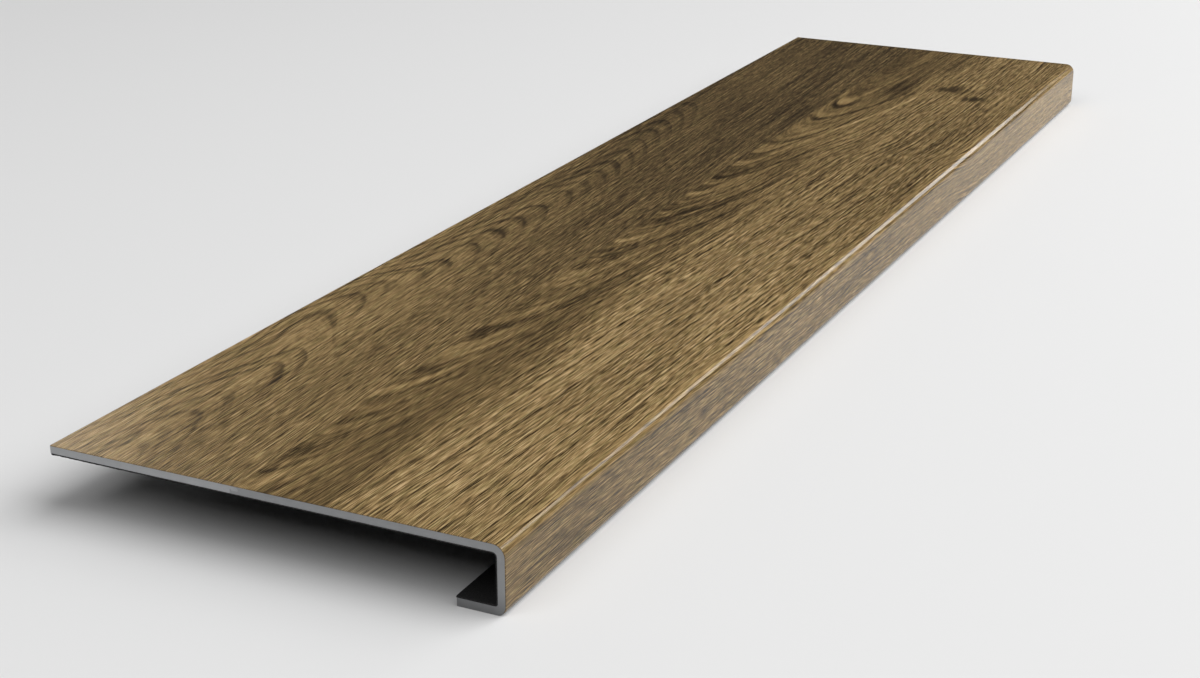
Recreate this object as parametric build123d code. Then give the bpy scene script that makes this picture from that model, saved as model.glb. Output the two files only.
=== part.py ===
"""Oak-look stair tread made of two rigid vinyl planks.

The nosing plank is folded twice into a J: a deep top, a front face and a short lip
that turns back under the old step. The tread board clicks into its rear edge with a
tongue and groove. Each plank has a grey core, a printed wear layer and a foam backing.

The section lies in the YZ plane, with the front of the nose at -Y and the floor at Z = 0,
and every piece runs the full length along X. All sizes are in millimetres.
"""
import os
from math import cos, radians, sin

from build123d import *

# Overall size
length = 1220.0
depth = 300.0  # front of the nose to the back edge
nose_height = 42.0  # underside of the lip to the walking surface

# Layers of both planks, from the walking surface down
wear_thickness = 0.5
core_thickness = 4.5
backing_thickness = 1.0

# Folded nosing
nosing_depth = 171.0  # front of the nose to the seam
lip_reach = 30.0  # front of the nose to the end of the lip
nose_radius = 8.0  # upper bend, outside
nose_fold_radius = 3.0  # upper bend, inside of the core
lip_radius = 6.0  # lower bend, outside
lip_fold_radius = 2.0  # lower bend, inside of the core
tightest_fold = 0.2  # inside of a backing too thick to follow the core's bend
wear_wrap_angle = 40.0  # degrees of the lower bend that the wear layer covers

# Click joint between the planks
land_height = 0.4  # core that butts at the seam, under the wear layer
tongue_reach = 2.4
tongue_thickness = 2.2
tongue_tip_round = 0.6
tongue_tip_flat = 0.2
lower_lip_reach = 3.0  # how far the nosing's lower lip runs past the seam
catch_height = 0.6
catch_width = 1.2
catch_ramp = 0.4
joint_clearance = 0.1

# Levels and places that follow from the sizes above
board_thickness = wear_thickness + core_thickness
plank_thickness = board_thickness + backing_thickness
backing_nose_round = max(nose_fold_radius - backing_thickness, tightest_fold)
backing_lip_round = max(lip_fold_radius - backing_thickness, tightest_fold)
front = -depth / 2
back = depth / 2
seam = front + nosing_depth
lip_end = front + lip_reach
land_bottom = nose_height - wear_thickness - land_height
tongue_bottom = land_bottom - tongue_thickness
tongue_top_round = tongue_thickness - tongue_tip_round - tongue_tip_flat


def rectangle(low, high):
    """Face between two corners (y, z) of the section."""
    width = high[0] - low[0]
    height = high[1] - low[1]
    return Pos(low[0], low[1]) * Rectangle(width, height, align=Align.MIN)


def folded_space(inset, nose_round, lip_round):
    """Face of all that lies inside the fold, a given inset behind its outer surface."""
    space = rectangle((front + inset, inset), (back, nose_height - inset))
    lower, upper = space.vertices().group_by(Axis.X)[0].sort_by(Axis.Y)
    space = fillet(upper, nose_round)
    lower = space.vertices().sort_by(Axis.Y)[0:2].sort_by(Axis.X)[0]
    return fillet(lower, lip_round)


def board_side(clearance):
    """Face of all that lies on the tread board's side of the joint, down to the floor.

    With no clearance it is the board's own outline: its land, its rounded tongue, the
    recess for the catch and the lower shoulder. With a clearance it is the groove that
    is cut into the nosing, which bears on the board at the land and under the tongue.
    """
    tip = seam - tongue_reach - clearance
    catch_front = seam + lower_lip_reach - catch_width + clearance
    catch_top = tongue_bottom + catch_height - clearance
    shoulder = seam + lower_lip_reach - clearance
    outline = Polyline(
        (seam, nose_height),
        (seam, land_bottom),
        (tip, land_bottom),
        (tip, tongue_bottom),
        (catch_front, tongue_bottom),
        (catch_front + catch_ramp, catch_top),
        (shoulder, catch_top),
        (shoulder, 0),
        (back, 0),
        (back, nose_height),
        close=True,
    )
    side = make_face(outline)
    upper = side.vertices().group_by(Axis.X)[0].sort_by(Axis.Y)[-1]
    side = fillet(upper, tongue_top_round)
    lower = side.vertices().group_by(Axis.X)[0].sort_by(Axis.Y)[0]
    return fillet(lower, tongue_tip_round)


def below_wear_trim():
    """Face of all that lies past the line where the wear layer is trimmed on the lower bend."""
    bend_y = front + lip_radius
    bend_z = lip_radius
    ray = 2 * lip_radius / sin(radians(wear_wrap_angle))
    ray_y = bend_y - ray * cos(radians(wear_wrap_angle))
    ray_z = bend_z - ray * sin(radians(wear_wrap_angle))
    outline = Polyline((bend_y, bend_z), (ray_y, ray_z), (back, ray_z), (back, bend_z), close=True)
    return make_face(outline)


def nosing_sections():
    """Core, wear layer and backing of the folded nosing, as faces of the section."""
    outer = folded_space(0, nose_radius, lip_radius)
    print_side = folded_space(wear_thickness, nose_radius - wear_thickness, lip_radius - wear_thickness)
    core_inside = folded_space(board_thickness, nose_fold_radius, lip_fold_radius)
    backing_inside = folded_space(plank_thickness, backing_nose_round, backing_lip_round)
    behind_lip = rectangle((lip_end, 0), (back, nose_height / 2))
    groove = board_side(joint_clearance)
    wear_layer = outer - print_side - groove - below_wear_trim()
    core = outer - core_inside - behind_lip - groove - wear_layer
    backing = core_inside - backing_inside - behind_lip - groove
    return core, wear_layer, backing


def board_sections():
    """Core, wear layer and backing of the flat tread board, as faces of the section."""
    core_bottom = nose_height - board_thickness
    core_top = nose_height - wear_thickness
    core_strip = rectangle((front, core_bottom), (back, core_top))
    shoulder = seam + lower_lip_reach
    core = core_strip & board_side(0)
    wear_layer = rectangle((seam, core_top), (back, nose_height))
    backing = rectangle((shoulder, nose_height - plank_thickness), (back, core_bottom))
    return core, wear_layer, backing


def full_length(section):
    """Solid of a section that runs the whole length of the tread."""
    return extrude(Plane.YZ * section, length / 2, both=True)


def main():
    nosing_core, nosing_wear_layer, nosing_backing = nosing_sections()
    board_core, board_wear_layer, board_backing = board_sections()
    sections = {
        "nosing_core": nosing_core,
        "nosing_wear_layer": nosing_wear_layer,
        "nosing_backing": nosing_backing,
        "tread_board_core": board_core,
        "tread_board_wear_layer": board_wear_layer,
        "tread_board_backing": board_backing,
    }
    os.makedirs("parts", exist_ok=True)
    for name, section in sections.items():
        export_step(full_length(section), f"parts/{name}.step")


main()
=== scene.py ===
# %% [markdown]
# # An oak-look stair tread
# This lesson dresses a stair tread made of two rigid vinyl planks. The rear one is a flat
# board; the front one is folded into a nosing with a short lip under it. Both have a grey
# core, a printed and embossed oak surface, and a black foam backing.
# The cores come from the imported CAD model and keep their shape. The thin skins, which are
# what the eye sees, are modelled here, so that their bends are smooth and the print runs
# unbroken round the nose.

# %% Load the frame
from math import cos, pi, radians, sin

import bpy
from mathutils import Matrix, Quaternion, Vector


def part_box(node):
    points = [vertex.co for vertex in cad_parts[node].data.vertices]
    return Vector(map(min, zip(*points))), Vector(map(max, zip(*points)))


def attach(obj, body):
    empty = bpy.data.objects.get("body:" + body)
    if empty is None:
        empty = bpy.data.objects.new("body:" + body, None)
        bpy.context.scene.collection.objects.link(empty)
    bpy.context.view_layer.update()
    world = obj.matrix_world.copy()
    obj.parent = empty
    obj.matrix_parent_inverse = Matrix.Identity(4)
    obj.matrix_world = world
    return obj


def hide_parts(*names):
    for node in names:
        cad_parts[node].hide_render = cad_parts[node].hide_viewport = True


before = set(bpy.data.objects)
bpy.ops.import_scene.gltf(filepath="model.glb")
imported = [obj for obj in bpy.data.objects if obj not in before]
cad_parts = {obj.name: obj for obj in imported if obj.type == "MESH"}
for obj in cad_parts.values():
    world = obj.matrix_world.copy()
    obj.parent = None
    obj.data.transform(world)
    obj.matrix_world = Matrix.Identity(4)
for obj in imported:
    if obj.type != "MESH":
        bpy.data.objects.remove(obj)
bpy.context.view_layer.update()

print("CAD nodes:", ", ".join(sorted(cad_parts)))

# %% [markdown]
# ## Sizes
# Every skin lies on a CAD piece, so its size is read from that piece. What a box can't
# tell, such as the radii of the bends, is written here. Blender works in metres.

# %% Read the sizes
MM = 0.001
board_low, board_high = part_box("tread_board_wear_layer")
nosing_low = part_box("nosing_wear_layer")[0]
HALF_LENGTH = board_high.x
LENGTH = 2 * HALF_LENGTH
TOP = board_high.z
SEAM = board_low.y
BACK = board_high.y
FRONT = nosing_low.y
WEAR = board_high.z - board_low.z
NOSE_RADIUS = 8 * MM
LIP_RADIUS = 6 * MM
WEAR_WRAP = radians(40)
print(f"tread {LENGTH:.3f} m long, seam {(SEAM - FRONT) / MM:.0f} mm behind the nose")

# %% [markdown]
# ## A flat sheet
# A skin starts as one flat plane, as the real film does. Its UV map is made while it is
# flat, so the print stays true to the sheet however it is folded later. A mesh bends only
# along its edges, so bisect first cuts the plane wherever it will be folded.

# %% Start a sheet and cut it
def only(piece):
    """Select and activate one object, with everything else deselected."""
    bpy.ops.object.select_all(action="DESELECT")
    piece.select_set(True)
    bpy.context.view_layer.objects.active = piece


def flat_sheet(name, y_low, y_high, z, half_length=HALF_LENGTH):
    """A flat rectangle that faces up, with its place in its mesh."""
    bpy.ops.object.select_all(action="DESELECT")
    bpy.ops.mesh.primitive_plane_add(size=1, location=(0, (y_low + y_high) / 2, z))
    sheet = bpy.context.object
    sheet.name = name
    sheet.data.name = name
    sheet.scale = (2 * half_length, y_high - y_low, 1)
    bpy.ops.object.transform_apply(location=True, rotation=True, scale=True)
    return sheet


def cut(sheet, places, across):
    """Cut the flat sheet at each place along a direction."""
    only(sheet)
    bpy.ops.object.mode_set(mode="EDIT")
    for place in places:
        bpy.ops.mesh.select_all(action="SELECT")
        bpy.ops.mesh.bisect(plane_co=[place * part for part in across], plane_no=across)
    bpy.ops.object.mode_set(mode="OBJECT")


# %% [markdown]
# ## Folding
# A fold is a row of cuts with a small turn at each: transform.rotate turns all that lies
# beyond a cut about that cut. The cuts are one chord of the bend apart, so every new edge
# lies on the bend's true arc; the first and the last cut take half a step. Blender's
# Simple Deform could bend the sheet too, but it bends everything at once and leaves no
# flat parts between the folds.

# %% Fold a sheet
TINY = 1e-7
FOLD_DOWN = -1
END_SHARE = 0.5


def bend_cuts(start, radius, angle, steps):
    """Places of the cuts for a bend that starts at one place and goes towards -Y."""
    chord = 2 * radius * sin(angle / steps / 2)
    return [start - chord * step for step in range(steps + 1)]


def select_beyond(sheet, flat_y, place):
    """Select what lay beyond a place while the sheet was flat."""
    only(sheet)
    for vertex, y in zip(sheet.data.vertices, flat_y):
        vertex.select = y < place + TINY
    for part in (sheet.data.edges, sheet.data.polygons):
        for item in part:
            item.select = all(flat_y[i] < place + TINY for i in item.vertices)


def fold(sheet, flat_y, cuts, angle):
    """Turn all that lies beyond each cut downwards about it, a little at a time."""
    steps = len(cuts) - 1
    for step, place in enumerate(cuts):
        share = END_SHARE if step in (0, steps) else 1.0
        hinge = next(v.co for v, y in zip(sheet.data.vertices, flat_y) if abs(y - place) < TINY)
        hinge = (0, hinge.y, hinge.z)
        select_beyond(sheet, flat_y, place)
        bpy.ops.object.mode_set(mode="EDIT")
        turn = FOLD_DOWN * share * angle / steps
        bpy.ops.transform.rotate(value=turn, orient_axis="X", center_override=hinge)
        bpy.ops.object.mode_set(mode="OBJECT")


# %% [markdown]
# ## Thickness and edges
# Solidify gives a sheet its thickness, on the inside of its folds, and Bevel eases its
# edges, which are never quite sharp on a real one. The two facets of such an edge meet the
# flat faces at 22.5 degrees, and the smoothing angle has to stay below that. Smoothing
# from a facet into a face would tilt the normals at the face's corners, and a flat top
# would then shade like a pillow.

# %% Give a sheet its thickness
EASE_FACETS = 2
SHARP_EDGE = radians(50)
SMOOTH_BEND = radians(20)


def thicken(sheet, thickness):
    """Give the sheet its thickness on the inside of its folds."""
    only(sheet)
    solid = sheet.modifiers.new("thickness", "SOLIDIFY")
    solid.thickness = thickness
    solid.offset = -1
    solid.use_even_offset = True
    bpy.ops.object.modifier_apply(modifier=solid.name)


def ease_edges(sheet, width):
    """Round the sharp edges a little, and smooth the rest."""
    only(sheet)
    bevel = sheet.modifiers.new("eased edges", "BEVEL")
    bevel.width = width
    bevel.segments = EASE_FACETS
    bevel.limit_method = "ANGLE"
    bevel.angle_limit = SHARP_EDGE
    bpy.ops.object.modifier_apply(modifier=bevel.name)
    bpy.ops.object.shade_smooth_by_angle(angle=SMOOTH_BEND)
    print(sheet.name, len(sheet.data.polygons), "faces")


# %% [markdown]
# ## The board's oak skin
# The rear board's wear layer is a flat sheet half a millimetre thick. Its edges are eased
# by about a tenth of a millimetre. That is what makes the seam between the planks show as
# a fine line instead of vanishing.

# %% Board skin
EASE = 0.12 * MM
board_skin = flat_sheet("board_oak_skin", SEAM, BACK, TOP)
thicken(board_skin, WEAR)
ease_edges(board_skin, EASE)

# %% [markdown]
# ## The nosing's oak skin
# This sheet starts flat too, from the seam forwards, and is folded twice: down over the
# nose, and part of the way round the lower bend, where the film is trimmed. Its front lies
# a ten-thousandth of a millimetre inside the CAD model's, so that rounding leaves nothing
# outside it.

# %% Nosing skin
ALONG_Y = (0, 1, 0)
SQUARE_BEND = pi / 2
NOSE_STEPS = 24
WRAP_STEPS = 8
FACE_HEIGHT = TOP - NOSE_RADIUS - LIP_RADIUS
INSIDE = 1e-7
nose_cuts = bend_cuts(FRONT + INSIDE + NOSE_RADIUS, NOSE_RADIUS, SQUARE_BEND, NOSE_STEPS)
wrap_cuts = bend_cuts(nose_cuts[-1] - FACE_HEIGHT, LIP_RADIUS, WEAR_WRAP, WRAP_STEPS)
SHEET_END = wrap_cuts[-1]
nosing_skin = flat_sheet("nosing_oak_skin", SHEET_END, SEAM, TOP)
cut(nosing_skin, nose_cuts + wrap_cuts[:-1], ALONG_Y)
flat_y = [vertex.co.y for vertex in nosing_skin.data.vertices]
fold(nosing_skin, flat_y, nose_cuts, SQUARE_BEND)
fold(nosing_skin, flat_y, wrap_cuts, WEAR_WRAP)
thicken(nosing_skin, WEAR)
ease_edges(nosing_skin, EASE)
print(f"sheet for the nosing: {(SEAM - SHEET_END) / MM:.1f} mm wide before it is folded")

# %% [markdown]
# ## Torn foam
# A millimetre of black closed-cell foam is glued under both planks. Foam tears a little
# where it is sawn, so its ends are not straight lines. The sheet is cut into narrow strips,
# with one more cut close to each end, and the free corners of the end are then moved at
# random, from a fixed seed.

# %% Cuts and torn ends for foam
board_foam_low, board_foam_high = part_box("tread_board_backing")
nosing_foam_low, nosing_foam_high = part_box("nosing_backing")
ALONG_X = (1, 0, 0)
FOAM = board_foam_high.z - board_foam_low.z
FOAM_SMOOTH = radians(40)
TEAR = 0.22 * MM
TEAR_STEP = 1.5 * MM
TEAR_DEPTH = 2 * MM
FOAM_HALF_LENGTH = HALF_LENGTH - TEAR
print(f"foam {FOAM / MM:.1f} mm thick, torn by up to {TEAR / MM:.2f} mm")


def strip_cuts(y_low, y_high):
    """Places of cuts about one tear apart between two edges."""
    count = round((y_high - y_low) / TEAR_STEP)
    return [y_low + (y_high - y_low) * i / count for i in range(1, count)]


def tear_ends(sheet, glued, seed):
    """Move the free corners at both ends at random; the first, glued ones stay."""
    only(sheet)
    for part in (sheet.data.vertices, sheet.data.edges, sheet.data.polygons):
        for item in part:
            item.select = False
    for vertex in sheet.data.vertices[glued:]:
        vertex.select = abs(vertex.co.x) > FOAM_HALF_LENGTH - TEAR
    bpy.ops.object.mode_set(mode="EDIT")
    bpy.ops.transform.vertex_random(offset=TEAR, seed=seed)
    bpy.ops.object.mode_set(mode="OBJECT")
    bpy.ops.object.shade_smooth_by_angle(angle=FOAM_SMOOTH)
    print(sheet.name, len(sheet.data.polygons), "faces")


def foam_sheet(name, y_low, y_high, z, cuts, folds, seed):
    """A foam sheet cut into strips, folded, thickened and torn at its ends."""
    sheet = flat_sheet(name, y_low, y_high, z, FOAM_HALF_LENGTH)
    cut(sheet, cuts, ALONG_Y)
    near_end = FOAM_HALF_LENGTH - TEAR_DEPTH
    cut(sheet, (-near_end, near_end), ALONG_X)
    flat_y = [vertex.co.y for vertex in sheet.data.vertices]
    for places in folds:
        fold(sheet, flat_y, places, SQUARE_BEND)
    glued = len(sheet.data.vertices)
    thicken(sheet, FOAM)
    tear_ends(sheet, glued, seed)
    return sheet


# %% [markdown]
# ## Two sheets of foam
# The board's foam is flat and stops just short of the back edge. The nosing's foam lines
# the inside of the whole fold: under the top, down the front face and back over the lip.
# Its length while flat is worked out from the inside of the fold.

# %% Foam under the board and inside the nosing
FOLD_STEPS = 8
NOSE_FOLD_RADIUS = 3 * MM
LIP_FOLD_RADIUS = 2 * MM
LIP_REACH = 30 * MM
board_foam = foam_sheet(
    "board_foam",
    board_foam_low.y,
    board_foam_high.y - TEAR,
    board_foam_high.z,
    strip_cuts(board_foam_low.y, board_foam_high.y - TEAR),
    [],
    seed=3,
)
upper_fold = bend_cuts(nosing_foam_low.y + NOSE_FOLD_RADIUS, NOSE_FOLD_RADIUS, SQUARE_BEND, FOLD_STEPS)
inside_height = nosing_foam_high.z - nosing_foam_low.z - NOSE_FOLD_RADIUS - LIP_FOLD_RADIUS
lower_fold = bend_cuts(upper_fold[-1] - inside_height, LIP_FOLD_RADIUS, SQUARE_BEND, FOLD_STEPS)
lip_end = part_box("nosing_core")[0].y + LIP_REACH
lip_flat = lip_end - nosing_foam_low.y - LIP_FOLD_RADIUS
foam_end = lower_fold[-1] - lip_flat
nosing_foam = foam_sheet(
    "nosing_foam",
    foam_end,
    nosing_foam_high.y,
    nosing_foam_high.z,
    strip_cuts(upper_fold[0], nosing_foam_high.y)
    + upper_fold
    + strip_cuts(lower_fold[0], upper_fold[-1])
    + lower_fold
    + strip_cuts(foam_end, lower_fold[-1]),
    [upper_fold, lower_fold],
    seed=5,
)

# %% [markdown]
# ## Formulas as nodes
# A printed oak plank has many layers of detail, and each is a small formula over the
# surface. Wiring dozens of Math nodes by hand is slow to read, so a Field wraps a socket:
# adding or multiplying fields adds the Math node and its links. What Blender sees is an
# ordinary node tree.

# %% A field over the surface
class Field:
    """A value that changes over the surface, from one socket of a node tree."""

    def __init__(self, tree, socket):
        self.tree = tree
        self.socket = socket

    def math(self, operation, *others):
        """The result of a Math node over this field and others."""
        node = self.tree.nodes.new("ShaderNodeMath")
        node.operation = operation
        for socket, source in zip(node.inputs, (self, *others)):
            connect(self.tree, source, socket)
        return Field(self.tree, node.outputs[0])

    def __add__(self, other):
        return self.math("ADD", other)

    def __sub__(self, other):
        return self.math("SUBTRACT", other)

    def __mul__(self, other):
        return self.math("MULTIPLY", other)

    def __truediv__(self, other):
        return self.math("DIVIDE", other)

    def invert(self):
        """1 where the field is 0, and 0 where it is 1."""
        return self * -1 + 1

    def rise(self, low, high):
        """0 below a low value, 1 above a high one, and smooth between them."""
        node = self.tree.nodes.new("ShaderNodeMapRange")
        node.interpolation_type = "SMOOTHSTEP"
        connect(self.tree, self, node.inputs["Value"])
        connect(self.tree, low, node.inputs["From Min"])
        connect(self.tree, high, node.inputs["From Max"])
        return Field(self.tree, node.outputs[0])


def connect(tree, source, socket):
    """Link a field to a socket, or set the socket to a plain number."""
    if isinstance(source, Field):
        tree.links.new(source.socket, socket)
    else:
        socket.default_value = source


# %% [markdown]
# ## Noise and ovals
# Wood is drawn out along its grain, so its noise is too: the place is divided by a length
# along the grain and a width across it before the noise is read. Different seeds read
# different depths of the same noise. Ovals make the single marks, such as eyes and knots.

# %% Noise and ovals
def place_of(tree, along, across, depth):
    """Three fields or numbers as one vector."""
    node = tree.nodes.new("ShaderNodeCombineXYZ")
    for socket, source in zip(node.inputs, (along, across, depth)):
        connect(tree, source, socket)
    return Field(tree, node.outputs[0])


def streaks(along, across, seed, length, width, detail=2.0, rough=0.5):
    """Noise drawn out along the grain, about -0.5 to 0.5; length and width in millimetres."""
    tree = along.tree
    noise = tree.nodes.new("ShaderNodeTexNoise")
    noise.inputs["Scale"].default_value = 1
    noise.inputs["Detail"].default_value = detail
    noise.inputs["Roughness"].default_value = rough
    connect(tree, place_of(tree, along / length, across / width, seed), noise.inputs["Vector"])
    return Field(tree, noise.outputs["Fac"]) * 2 - 1


def oval(along, across, place, size):
    """Distance from the middle of an oval: 0 at its place, 1 on its outline."""
    x = (along - place[0]) / size[0]
    y = (across - place[1]) / size[1]
    return (x * x + y * y).math("SQRT")


def spot(along, across, place, size):
    """A soft oval: 1 at its place, 0 outside its size."""
    return oval(along, across, place, size).rise(0, 1).invert()


# %% [markdown]
# ## Groups and colours
# A finish that several materials share is a node group, with its own inputs and outputs.
# Colours come from a ramp over a value, or from two colours that are mixed. A Mix node
# holds sockets for numbers, vectors and colours side by side, so the colour ones are
# picked out by their numbers.

# %% Groups and colours
MIX_COLOURS = slice(6, 8)
MIX_RESULT = 2


def new_group(name, inputs, outputs):
    """A shader node group, with its inputs as fields and its output node."""
    tree = bpy.data.node_groups.new(name, "ShaderNodeTree")
    for label, value in inputs.items():
        socket = tree.interface.new_socket(label, in_out="INPUT", socket_type="NodeSocketFloat")
        socket.default_value = value
    for label, kind in outputs.items():
        tree.interface.new_socket(label, in_out="OUTPUT", socket_type=kind)
    given = tree.nodes.new("NodeGroupInput")
    result = tree.nodes.new("NodeGroupOutput")
    return tree, {label: Field(tree, given.outputs[label]) for label in inputs}, result


def colour_ramp(field, stops):
    """Colours, in linear light, along a value."""
    node = field.tree.nodes.new("ShaderNodeValToRGB")
    node.color_ramp.interpolation = "LINEAR"
    connect(field.tree, field, node.inputs["Fac"])
    while len(node.color_ramp.elements) < len(stops):
        node.color_ramp.elements.new(0.5)
    for element, (position, colour) in zip(node.color_ramp.elements, stops):
        element.position = position
        element.color = (*colour, 1)
    return Field(field.tree, node.outputs["Color"])


def blend(tree, factor, first, second, how="MIX"):
    """Mix two colours; each is a field or a plain colour."""
    node = tree.nodes.new("ShaderNodeMix")
    node.data_type = "RGBA"
    node.blend_type = how
    connect(tree, factor, node.inputs["Factor"])
    for socket, source in zip(node.inputs[MIX_COLOURS], (first, second)):
        connect(tree, source if isinstance(source, Field) else (*source, 1), socket)
    return Field(tree, node.outputs[MIX_RESULT])


# %% [markdown]
# ## Printed oak
# The print on both planks is a picture of oak. Its fine detail is the same everywhere:
# long soft fibres, short threads, thin dark lines a few millimetres apart, dark pores and
# light flecks. All are drawn out along the grain, and both planks have them, so one group
# makes them. The growth rings differ from plank to plank and are an input of the group.

# %% Oak print group
OAK_INPUTS = {
    "Along": 0.0,
    "Across": 0.0,
    "Sweep": 0.0,
    "Rings": 0.0,
    "Line Gap": 5.0,
    "Line Strength": 0.2,
    "Contrast": 1.0,
    "Threads": 0.9,
    "Tone": 0.0,
    "Warmth": 0.0,
    "Gloss": 0.0,
    "Seed": 0.0,
}
FINISH_OUTPUTS = {
    "Color": "NodeSocketColor",
    "Roughness": "NodeSocketFloat",
    "Height": "NodeSocketFloat",
}
oak, given, result = new_group("oak_print", OAK_INPUTS, FINISH_OUTPUTS)
along = given["Along"]
across = given["Across"]
sweep = given["Sweep"]
rings = given["Rings"]
seed = given["Seed"]
cloud = streaks(along, across, seed + 1, length=220, width=26)
fibre = streaks(along, sweep, seed + 2, length=160, width=1.4, detail=3, rough=0.7)
thread = streaks(along, across, seed + 3, length=16, width=0.6)
pores = streaks(along, across, seed + 7, length=20, width=0.6, detail=1).rise(0.20, 0.34)
flecks = streaks(along, across, seed + 8, length=20, width=0.6, detail=1).rise(0.20, 0.34)
print("inputs of the oak print:", ", ".join(OAK_INPUTS))

# %% [markdown]
# ## Thin dark lines
# Early wood leaves rows of open pores, which the print shows as thin dark lines with a
# pale edge. The sweep counts millimetres across the grain, so its remainder after each gap
# is the place between two lines. Slow noise makes the lines wander, and they come and go.

# %% Thin dark lines
slow_drift = streaks(along, sweep, seed + 4, length=400, width=40) * 2
drift = slow_drift + streaks(along, across, seed + 5, length=30, width=3) * 0.2
phase = (sweep / given["Line Gap"] + drift).math("FRACT")
dark_line = phase.rise(0.0, 0.06) * phase.rise(0.08, 0.22).invert()
pale_line = phase.rise(0.80, 0.90) * phase.rise(0.95, 1.0).invert()
strength = streaks(along, across, seed + 6, length=90, width=6, detail=1).rise(-0.5, 0.2)
lines = (dark_line - pale_line * 0.5) * strength
print("oak print with lines:", len(oak.nodes), "nodes")

# %% [markdown]
# ## Colours, gloss and emboss
# All layers add up to one value, and a colour ramp turns it into browns from nearly black
# to pale straw. A tint makes some fibres redder and others more olive. The same layers are
# pressed into the film, so they also give its height and its roughness. Where the film is
# stretched it is glossy, and the emboss is gone.

# %% Oak colours
OAK_STOPS = [
    (0.00, (0.025, 0.017, 0.009)),
    (0.25, (0.085, 0.058, 0.027)),
    (0.50, (0.215, 0.149, 0.064)),
    (0.75, (0.375, 0.264, 0.120)),
    (1.00, (0.550, 0.410, 0.215)),
]
RED_OAK = (1.04, 0.985, 0.99)
OLIVE_OAK = (0.97, 1.005, 0.95)
MID_TONE = 0.5
CLOUD_DEPTH = 0.10
FIBRE_DEPTH = 0.72
PORE_DEPTH = 0.16
FLECK_DEPTH = 0.20
RING_DEPTH = 0.36
SMOOTHEST = 0.11
fine = fibre * FIBRE_DEPTH + thread * given["Threads"] - pores * PORE_DEPTH + flecks * FLECK_DEPTH
value = given["Tone"] + MID_TONE + cloud * CLOUD_DEPTH + fine * given["Contrast"]
value = value - rings * RING_DEPTH - lines * given["Line Strength"]
hue = (streaks(along, across, seed + 9, length=25, width=2.5) + given["Warmth"]).rise(-0.4, 0.4)
tint = blend(oak, hue, OLIVE_OAK, RED_OAK)
matte = given["Gloss"].invert()
finish = {
    "Color": blend(oak, 1.0, colour_ramp(value, OAK_STOPS), tint, "MULTIPLY"),
    "Roughness": (thread * 0.08 + rings * 0.05 + 0.15) * matte + SMOOTHEST,
    "Height": (thread * 0.6 - lines - rings * 0.4 - pores + flecks * 0.3) * matte,
}
for label, field in finish.items():
    connect(oak, field, result.inputs[label])
print("finished oak print:", len(oak.nodes), "nodes")

# %% [markdown]
# ## Oak on the two planks
# Both oak materials read the sheet's own UV map, turned into millimetres along the tread
# from its near end and across it from the nose. A print that is placed in this way stays
# on the film, also round the bend.

# %% Oak materials
RELIEF = 0.1 * MM
OAK_EMBOSS = 0.12


def new_material(name):
    """A material with its node tree and its Principled shader."""
    material = bpy.data.materials.new(name)
    material.use_nodes = True
    shader = material.node_tree.nodes["Principled BSDF"]
    return material, material.node_tree, shader


def sheet_place(tree, y_low, y_high):
    """Fields of the place on a sheet, in millimetres from the near end and the nose."""
    uv = tree.nodes.new("ShaderNodeUVMap")
    split = tree.nodes.new("ShaderNodeSeparateXYZ")
    tree.links.new(uv.outputs["UV"], split.inputs[0])
    along = Field(tree, split.outputs["X"]) * (LENGTH / MM)
    across = Field(tree, split.outputs["Y"]) * ((y_high - y_low) / MM) + (y_low - FRONT) / MM
    return along, across


def dress(tree, shader, group, values, emboss):
    """Place a group with its values, and wire it to a shader."""
    node = tree.nodes.new("ShaderNodeGroup")
    node.node_tree = group
    for label, source in values.items():
        connect(tree, source, node.inputs[label])
    bump = tree.nodes.new("ShaderNodeBump")
    bump.inputs["Strength"].default_value = emboss
    bump.inputs["Distance"].default_value = RELIEF
    tree.links.new(node.outputs["Height"], bump.inputs["Height"])
    tree.links.new(node.outputs["Color"], shader.inputs["Base Color"])
    tree.links.new(node.outputs["Roughness"], shader.inputs["Roughness"])
    tree.links.new(bump.outputs["Normal"], shader.inputs["Normal"])


# %% [markdown]
# ## Rings known by their tips
# A plank sawn through the side of a log shows its growth rings as nested arches. Along the
# middle of the arches every ring has a tip, and its arms run off along the plank. So a
# ring is known by the place of its tip: for any point on the plank, going back along its
# arm gives that place, and a colour ramp over the place makes it dark or light. Each tip
# is written as its place, in millimetres from the near end, and its strength. A ramp has
# room for 32 stops, three for each tip and one at its start, so long lists take several.

# %% Rings by their tips
TIPS_IN_A_RAMP = 10
BLACK = (0, 0, 0)


def rings_at(place, tips, before, after):
    """Bands that are strongest at their tips and fade out before and after them."""
    scale = LENGTH / MM
    share = place / scale
    bands = []
    for first in range(0, len(tips), TIPS_IN_A_RAMP):
        stops = [(0, BLACK)]
        for tip, strength in tips[first:first + TIPS_IN_A_RAMP]:
            start = max((tip - before) / scale, stops[-1][0])
            stops.append((start, BLACK))
            stops.append((tip / scale, (strength, strength, strength)))
            stops.append(((tip + after) / scale, BLACK))
        bands.append(colour_ramp(share, stops))
    total = bands[0]
    for band in bands[1:]:
        total = total.math("MAXIMUM", band)
    return total


def wander(along, across, seed):
    """How far the grain strays to the side, in millimetres."""
    slow = streaks(along, across, seed, length=300, width=50) * 5
    return slow + streaks(along, across, seed + 1, length=60, width=12) * 0.7


def fray(along, across, seed):
    """How far a ring's edge is torn along the grain, in millimetres."""
    fine = streaks(along, across, seed, length=25, width=1.2) * 4
    return fine + streaks(along, across, seed + 1, length=60, width=5) * 5


def patches(along, across, seed):
    """Where rings are strong or faint, from 0.6 to 1."""
    return streaks(along, across, seed, length=90, width=14).rise(-0.4, 0.3) * 0.4 + 0.6


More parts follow.
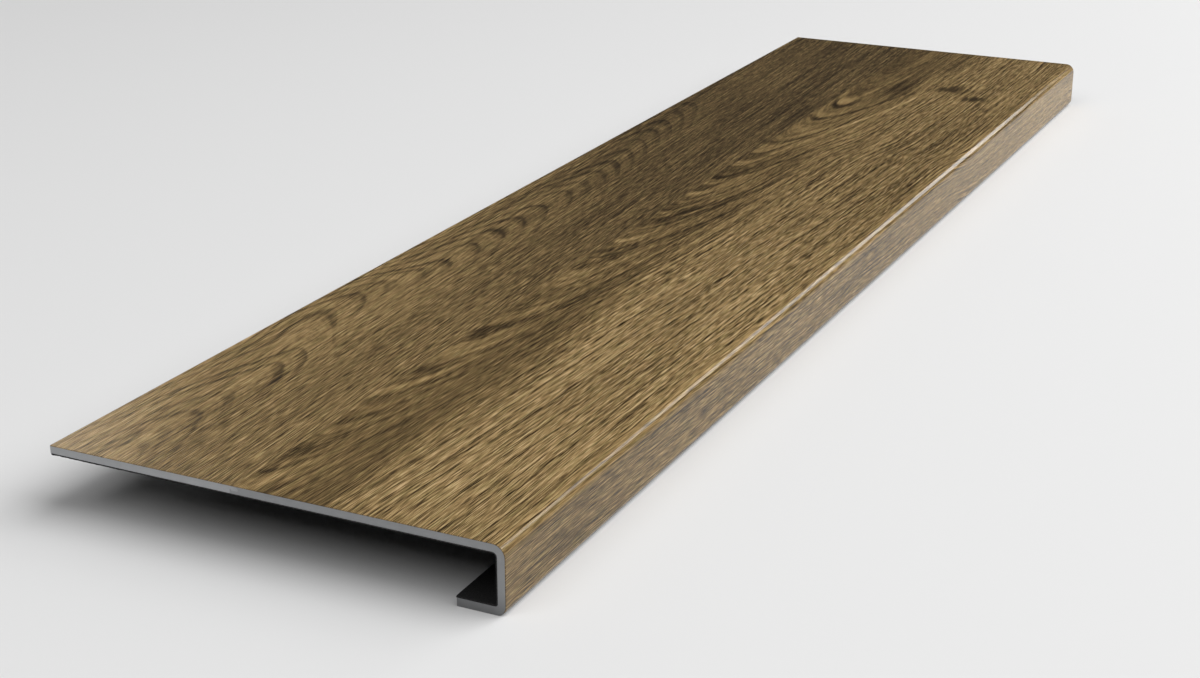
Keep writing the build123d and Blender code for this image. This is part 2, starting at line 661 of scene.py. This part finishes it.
# %% [markdown]
# ## Rings of the board
# The board's arches lie near its back edge. The line of their tips, the crown, moves back
# and forth along the plank. Behind the crown the arms bend away fast; in front of it they
# soon fade. Between the strong rings run faint ones, one for each year.

# %% Board rings
BOARD_TIPS = [
    (30, 0.5), (50, 0.6), (82, 0.7), (113, 0.5), (168, 0.8), (196, 0.7), (265, 0.9), (305, 0.8),
    (337, 0.9), (371, 0.7), (395, 1.0), (441, 0.9), (479, 1.0), (513, 0.9), (549, 0.8), (594, 0.7),
    (625, 0.4), (657, 0.6), (690, 0.8), (728, 0.5), (765, 0.6), (800, 0.6), (835, 0.6), (870, 0.6),
    (905, 0.4),
]
CROWN = 257
REAR_ARM_BEND = 1.5
REAR_ARM_PULL = 0.64
FRONT_ARM_PULL = 1 / 12
YEAR = 9
board_print, tree, shader = new_material("board_print")
along, across = sheet_place(tree, SEAM, BACK)
grain = across + wander(along, across, seed=3)
crown = along.rise(180, 260) * 24 - along.rise(310, 390) * 17 + along.rise(600, 950) * 28 + CROWN
from_crown = grain - crown
behind = from_crown.math("MAXIMUM", 0)
in_front = (crown - grain).math("MAXIMUM", 0)
tip = along + behind.math("POWER", REAR_ARM_BEND) * REAR_ARM_PULL
tip = tip + in_front * in_front * FRONT_ARM_PULL + fray(along, grain, seed=5)
reach = behind.rise(20, 60).invert() * in_front.rise(6, 34).invert() * 0.9 + 0.1
year = (tip / YEAR).math("FRACT")
years = year.rise(0.3, 0.8) * year.rise(0.85, 1.0).invert()
board_rings = rings_at(tip, BOARD_TIPS, before=13, after=3) * 1.25 + years * 0.2
board_rings = board_rings * reach * patches(along, grain, seed=8)
print(len(BOARD_TIPS), "rings on the board")

# %% [markdown]
# ## Print of the board
# The board has a few marks of its own: a pale eye, a dark dash beside it, and a long dark
# streak near the seam. It gets darker towards the far end and lighter at its back edge, and
# a painted sheen lightens its near back corner.
# The fibres behind the crown come from another depth of the noise, so that they don't run
# on across it. Towards the far end the threads are weaker and the long fibres stronger.

# %% Board print
WARMTH = 0.12
board_sweep = grain - along * 0.04
pale_eye = spot(along, across, place=(136, 258), size=(22, 10))
dark_dash = spot(along, grain, place=(140, 241), size=(26, 2.6))
dark_streak = spot(along, across - along * 0.045, place=(1000, 157), size=(260, 5))
# The near back corner is lightened by a painted sheen.
painted_corner_sheen = spot(along, across, place=(0, 290), size=(120, 90))
dark_end = (along - (across - 235) * 2).rise(100, 800)
rear_tone = along.rise(450, 800).invert() * 0.075 + 0.05
tone = dark_end * -0.20 - along.rise(550, 850) * 0.03 - 0.03
tone = tone + across.rise(225, 265) * rear_tone + painted_corner_sheen * 0.08
board_values = {
    "Along": along,
    "Across": board_sweep,
    "Sweep": board_sweep,
    "Rings": board_rings - pale_eye * 0.4 + dark_dash * 0.9 + dark_streak * 0.4,
    "Line Gap": 4.5,
    "Line Strength": 0.14,
    "Contrast": across.rise(228, 262) * -0.18 + along.rise(300, 1100) * 0.25 + 0.92,
    "Threads": along.rise(300, 900) * -0.4 + 0.9,
    "Tone": tone,
    "Warmth": WARMTH,
    "Seed": from_crown.rise(-6, 6) * 0.7 + 20,
}
dress(tree, shader, oak, board_values, OAK_EMBOSS)
print("board print:", len(tree.nodes), "nodes")

# %% [markdown]
# ## Rings of the nosing
# On the nosing the seam cuts the arches in half, so each ring starts with a broad dark
# foot at the seam and sinks towards the nose in a long arm. The drop is the distance from
# the line of the tips. Some arms are dark, some have a pale band before them, and one goes
# on as a pale line. The fibres sweep down with the arms, and run nearly straight where the
# arches end.

# %% Nosing rings
NOSING_TIPS = [
    (24, 0.3), (130, 0.2), (205, 0.2), (272, 0.5), (290, 0.4), (447, 0.9), (520, 0.8), (637, 0.9),
    (897, 1.0),
]
FOOT_TIPS = [(265, 0.35), (447, 0.9), (520, 0.8), (637, 0.8), (803, 1.0)]
PALE_TIPS = [(440, 0.3), (630, 0.4), (790, 0.5), (885, 0.5)]
PALE_ARM = [(806, 1.0)]
TIP_LINE = 169
ARM_BEND = 1.68
ARM_PULL = 0.228
SWEEP_START = 10260
ARCHES_END = 900
ARCHES_FADE = 300
nosing_print, tree, shader = new_material("nosing_print")
along, across = sheet_place(tree, SHEET_END, SEAM)
grain = across + wander(along, across, seed=43)
drop = (along.rise(780, 870) * -8 + TIP_LINE - grain).math("ABSOLUTE")
tip = along - drop.math("POWER", ARM_BEND) * ARM_PULL
long_feet = tip.rise(525, 545) * tip.rise(690, 720).invert() * drop.rise(4, 16)
tip = tip - long_feet * 30 + fray(along, grain, seed=45) * 0.6
reach = drop.rise(52, 76).invert() * patches(along, grain, seed=48)
feet = rings_at(tip, FOOT_TIPS, before=4, after=28) * drop.rise(14, 30).invert()
arms = rings_at(tip, NOSING_TIPS, before=4, after=12) * along.rise(1000, 1040).invert()
dark_arms = feet.math("MAXIMUM", arms) * 1.15 * reach
pale_arm = rings_at(tip, PALE_ARM, before=12, after=14) * drop.rise(16, 28) * drop.rise(58, 68).invert()
pale_arms = rings_at(tip, PALE_TIPS, before=28, after=3) * reach * 0.5 + pale_arm
arching = along.math("SMOOTH_MIN", ARCHES_END, ARCHES_FADE) * 6 + along * 2
nosing_sweep = (drop * drop - arching + SWEEP_START).math("SQRT")
print(len(NOSING_TIPS) + len(FOOT_TIPS), "dark arms and feet on the nosing")

# %% [markdown]
# ## Eye and knot
# Near the far end the rings close round a small eye, darkest on its near side. In front of
# it is a knot with dark wood smeared round it. They are soft ovals whose coordinates are
# pushed about by noise, so that their outlines are ragged. A faint smudge lies on the
# front face, at the near end.

# %% Eye and knot
KNOT_SPOTS = [
    ((1034, 51), (17, 16), 1.2),
    ((998, 32), (9, 14), 0.66),
    ((1062, 80), (22, 30), 1.2),
    ((1045, 128), (50, 26), 0.36),
]
from_eye = oval(along, grain, place=(979, 159), size=(26, 9)) + fray(along, grain, seed=50) * 0.06
eye_ring = from_eye.rise(0.7, 1.0) * from_eye.rise(1.05, 1.5).invert()
eye_ring = eye_ring * (along.rise(960, 1000) * -0.7 + 1)
eye_heart = from_eye.rise(0.3, 0.9).invert()
ragged_along = along + streaks(along, grain, seed=52, length=22, width=6) * 22
ragged_grain = grain + streaks(along, grain, seed=53, length=30, width=20) * 16
dark_wood = spot(along, across, place=(60, -20), size=(40, 10)) * 0.3
for place, size, strength in KNOT_SPOTS:
    dark_wood = dark_wood + spot(ragged_along, ragged_grain, place, size) * strength
print(len(KNOT_SPOTS), "spots round the knot")

# %% [markdown]
# ## Print of the nosing
# The nosing is darker along the seam than at the nose, with a dark band and a light streak
# at its near end. On the front face the print is softer, and near the end painted shade
# makes the face darker.
# Round the bend the film is stretched: the emboss is gone and the gloss is higher, which
# gives the nose its thin bright line. The film mirrors less than the shader's default. At
# that default the front face would show so much of the pale floor that it lost its brown.

# %% Nosing print
FILM_MIRROR = 0.2
far = along.rise(300, 850)
top = across.rise(0, 10)
bend = across.rise(-6, -3) * across.rise(6, 9).invert()
under_bend = across.rise(-8, 0).invert()
# Painted shade darkens the front face towards the near end.
painted_face_shade = across.rise(-6, 4).invert() * along.rise(300, 1100).invert()
rear = across.rise(85, 135)
pale_rear = rear * along.rise(700, 780) * along.rise(980, 1040).invert()
dark_rear = rear * along.rise(980, 1060)
far_front = across.rise(60, 110).invert() * along.rise(520, 640) * along.rise(960, 1060).invert()
dark_band = across.rise(104, 118) * across.rise(138, 152).invert() * along.rise(300, 560).invert()
light_streak = spot(along, grain - along * 0.17, place=(30, 157), size=(60, 3))
tone = rear * -0.135 + pale_rear * 0.08 - dark_rear * 0.03 - far_front * 0.05 - dark_band * 0.07
tone = tone - top * (far * 0.07 + 0.02) + light_streak * 0.2 - painted_face_shade * 0.15 + under_bend * 0.03 + 0.05
contrast = across.rise(95, 125) * -0.3 - rear * along.rise(850, 1000) * 0.35 - dark_band * 0.2
contrast = contrast - under_bend * (far * 0.15 + 0.25) - bend * 0.4 + along.rise(150, 500) * 0.32 + 1.12
nosing_values = {
    "Along": along,
    "Across": grain + along * 0.02,
    "Sweep": nosing_sweep,
    "Rings": dark_arms - pale_arms + eye_ring * 1.1 - eye_heart * 0.25 + dark_wood,
    "Line Gap": 7.0,
    "Line Strength": across.rise(85, 110).invert() * 0.22 - under_bend * 0.16 - far * 0.08 + 0.10,
    "Contrast": contrast,
    "Threads": far * -0.4 + 0.9,
    "Tone": tone,
    "Warmth": WARMTH,
    "Gloss": bend,
    "Seed": 60.0,
}
dress(tree, shader, oak, nosing_values, OAK_EMBOSS)
shader.inputs["Specular IOR Level"].default_value = FILM_MIRROR
print("nosing print:", len(tree.nodes), "nodes")

# %% [markdown]
# ## The grey core
# The core is vinyl filled with stone dust, and the saw leaves it matte and speckled. Both
# cores are the same stuff in two greys, so the speckle is a group. Towards the floor the
# cut end is darkened by painted shade.

# %% Core materials
CORE_INPUTS = {"X": 0.0, "Y": 0.0, "Z": 0.0, "Brightness": 0.3}
CORE_EMBOSS = 0.2
CORE_ROUGHNESS = 0.62
COOL_RED = 0.985
COOL_BLUE = 1.02
core, given, result = new_group("sawn_core", CORE_INPUTS, FINISH_OUTPUTS)
dust = streaks(given["X"], given["Y"], given["Z"], length=0.5, width=0.5, detail=3, rough=0.6)
cloud = streaks(given["X"], given["Y"], given["Z"] + 7, length=6, width=6)
grey = given["Brightness"] * (dust * 0.16 + cloud * 0.10 + 1)
finish = {
    "Color": place_of(core, grey * COOL_RED, grey, grey * COOL_BLUE),
    "Roughness": dust * 0.1 + CORE_ROUGHNESS,
    "Height": dust,
}
for label, field in finish.items():
    connect(core, field, result.inputs[label])


def object_place(tree):
    """Fields of the place in the tread's own frame, in millimetres."""
    coordinates = tree.nodes.new("ShaderNodeTexCoord")
    split = tree.nodes.new("ShaderNodeSeparateXYZ")
    tree.links.new(coordinates.outputs["Object"], split.inputs[0])
    return [Field(tree, socket) / MM for socket in split.outputs]


def sawn_core(name, brightness):
    """A grey core material, with painted shade that leaves it about half as bright at the floor as at the
    top.
    """
    material, tree, shader = new_material(name)
    x, y, z = object_place(tree)
    # Painted shade: the cut face darkens towards the floor.
    painted_floor_shade = z.rise(-4, 18) * 0.5 + 0.5
    values = {"X": y, "Y": z, "Z": x, "Brightness": painted_floor_shade * brightness}
    dress(tree, shader, core, values, CORE_EMBOSS)
    return material


BOARD_BRIGHTNESS = 0.44
NOSING_BRIGHTNESS = 0.33
board_grey = sawn_core("board_core", BOARD_BRIGHTNESS)
nosing_grey = sawn_core("nosing_core", NOSING_BRIGHTNESS)
print("core speckle:", len(core.nodes), "nodes")

# %% [markdown]
# ## Black foam
# The foam is black, with cells of about a millimetre; here and there a cell wall catches
# the light. A Voronoi texture gives the cells. Its distance grows towards their walls, and
# so it also makes the relief.

# %% Foam material
CELLS_PER_MM = 1.2
FOAM_BLACK = (0.006, 0.006, 0.006)
FOAM_GLINT = (0.05, 0.05, 0.05)
CELL_DEPTH = 0.3 * MM
FOAM_EMBOSS = 0.6
FOAM_ROUGHNESS = 0.7
black_foam, tree, shader = new_material("foam_backing")
x, y, z = object_place(tree)
cells = tree.nodes.new("ShaderNodeTexVoronoi")
cells.inputs["Scale"].default_value = CELLS_PER_MM
connect(tree, place_of(tree, x, y, z), cells.inputs["Vector"])
wall = Field(tree, cells.outputs["Distance"])
sparkle = streaks(x, y, z, length=0.6, width=0.6, detail=1).rise(0.2, 0.5)
connect(tree, colour_ramp(sparkle, [(0, FOAM_BLACK), (1, FOAM_GLINT)]), shader.inputs["Base Color"])
connect(tree, wall * 0.2 + FOAM_ROUGHNESS, shader.inputs["Roughness"])
bump = tree.nodes.new("ShaderNodeBump")
bump.inputs["Strength"].default_value = FOAM_EMBOSS
bump.inputs["Distance"].default_value = CELL_DEPTH
connect(tree, wall, bump.inputs["Height"])
tree.links.new(bump.outputs["Normal"], shader.inputs["Normal"])
print("foam:", len(tree.nodes), "nodes")

# %% [markdown]
# ## Put the pieces in the frame
# Every new piece rides on the tread's one body, takes its material, and hides the CAD
# node that it stands for. The two cores stay as they are and only get a material.

# %% Dress the frame
PIECES = [
    (board_skin, board_print, "board_print", "tread_board_wear_layer"),
    (nosing_skin, nosing_print, "nosing_print", "nosing_wear_layer"),
    (board_foam, black_foam, "foam_backing", "tread_board_backing"),
    (nosing_foam, black_foam, "foam_backing", "nosing_backing"),
]
for piece, material, slot, node in PIECES:
    piece.data.materials.clear()
    piece.data.materials.append(material)
    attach(piece, "root")
    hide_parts(node)
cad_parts["tread_board_core"].material_slots[0].material = board_grey
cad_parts["nosing_core"].material_slots[0].material = nosing_grey
print(len(PIECES), "pieces dressed")

# %% [markdown]
# ## Floor
# The floor is plain, pale, matte and large. It is stage, not part of the tread.

# %% Floor
FLOOR_SIZE = 16
FLOOR_PLACE = (2, 1, 0)
FLOOR_GREY = (0.77, 0.77, 0.77, 1)
FLOOR_ROUGHNESS = 0.9
FLOOR_MIRROR = 0.1
bpy.ops.object.select_all(action="DESELECT")
bpy.ops.mesh.primitive_plane_add(size=FLOOR_SIZE, location=FLOOR_PLACE)
floor = bpy.context.object
floor.name = "studio_floor"
bpy.ops.object.transform_apply(location=True)
pale, tree, shader = new_material("pale_floor")
shader.inputs["Base Color"].default_value = FLOOR_GREY
shader.inputs["Roughness"].default_value = FLOOR_ROUGHNESS
shader.inputs["Specular IOR Level"].default_value = FLOOR_MIRROR
floor.data.materials.append(pale)
print("floor", FLOOR_SIZE, "m wide")

# %% [markdown]
# ## Lights
# One wide softbox hangs over the front of the tread and gives the soft shadow under the
# near end. A second one, beyond the near end, lights the cut faces. A small one behind
# gives the sheen on the near corner of the board. A strip beyond the far end, rolled until
# its reflection lies along the nose, draws the thin bright line there. The room around is
# dim, so that the top keeps its colour where it is seen at a low angle.

# %% Lights
ROOM_WHITE = (1, 1, 1, 1)
ROOM_LIGHT = 0.024
STRIP_ROLL = radians(43)
AIM_AXIS = (0, 0, 1)


def softbox(name, place, target, width, height, power, roll=0.0):
    """A rectangular area light at a place, turned to a target and rolled about its aim."""
    light = bpy.data.lights.new(name, "AREA")
    light.shape = "RECTANGLE"
    light.size = width
    light.size_y = height
    light.energy = power
    lamp = bpy.data.objects.new(name, light)
    lamp.location = place
    aim = Vector(target) - Vector(place)
    turn = aim.to_track_quat("-Z", "Y") @ Quaternion(AIM_AXIS, roll)
    lamp.rotation_euler = turn.to_euler()
    bpy.context.collection.objects.link(lamp)
    print(name, power, "W")


softbox("front_softbox", (1.0, -3.0, 4.2), (0.0, 0.0, 0.0), width=6.0, height=6.0, power=355)
softbox("side_softbox", (-3.4, 0.8, 4.0), (-0.5, 0.1, 0.0), width=3.5, height=3.5, power=82)
softbox("back_softbox", (1.8, 2.95, 1.57), (-0.6, 0.15, 0.0), width=1.2, height=1.2, power=5)
softbox("far_strip", (3.2, -1.6, 1.77), (0.0, -0.15, 0.0), width=1.0, height=2.5, power=33, roll=STRIP_ROLL)
world = bpy.data.worlds.new("dim_room")
world.use_nodes = True
world.node_tree.nodes["Background"].inputs["Color"].default_value = ROOM_WHITE
world.node_tree.nodes["Background"].inputs["Strength"].default_value = ROOM_LIGHT
bpy.context.scene.world = world

# %% [markdown]
# ## Camera
# The camera stands beyond the near end, a little in front of the tread, and looks down
# along it. Its place and lens were worked out from the tread's own straight edges.

# %% Camera
AZIMUTH = radians(-64.103)
ELEVATION = radians(20.671)
CAMERA_PLACE = (-1.456873, -0.616087, 0.521558)
LENS = 61.778
SENSOR_WIDTH = 36
backward = Vector((sin(AZIMUTH) * cos(ELEVATION), -cos(AZIMUTH) * cos(ELEVATION), sin(ELEVATION)))
camera = bpy.data.objects.new("camera", bpy.data.cameras.new("camera"))
camera.data.sensor_width = SENSOR_WIDTH
camera.data.lens = LENS
camera.location = CAMERA_PLACE
camera.rotation_euler = (-backward).to_track_quat("-Z", "Y").to_euler()
bpy.context.collection.objects.link(camera)
bpy.context.scene.camera = camera
bpy.context.scene.view_settings.view_transform = "Standard"
print(f"camera {camera.location.length:.2f} m from the middle of the tread")
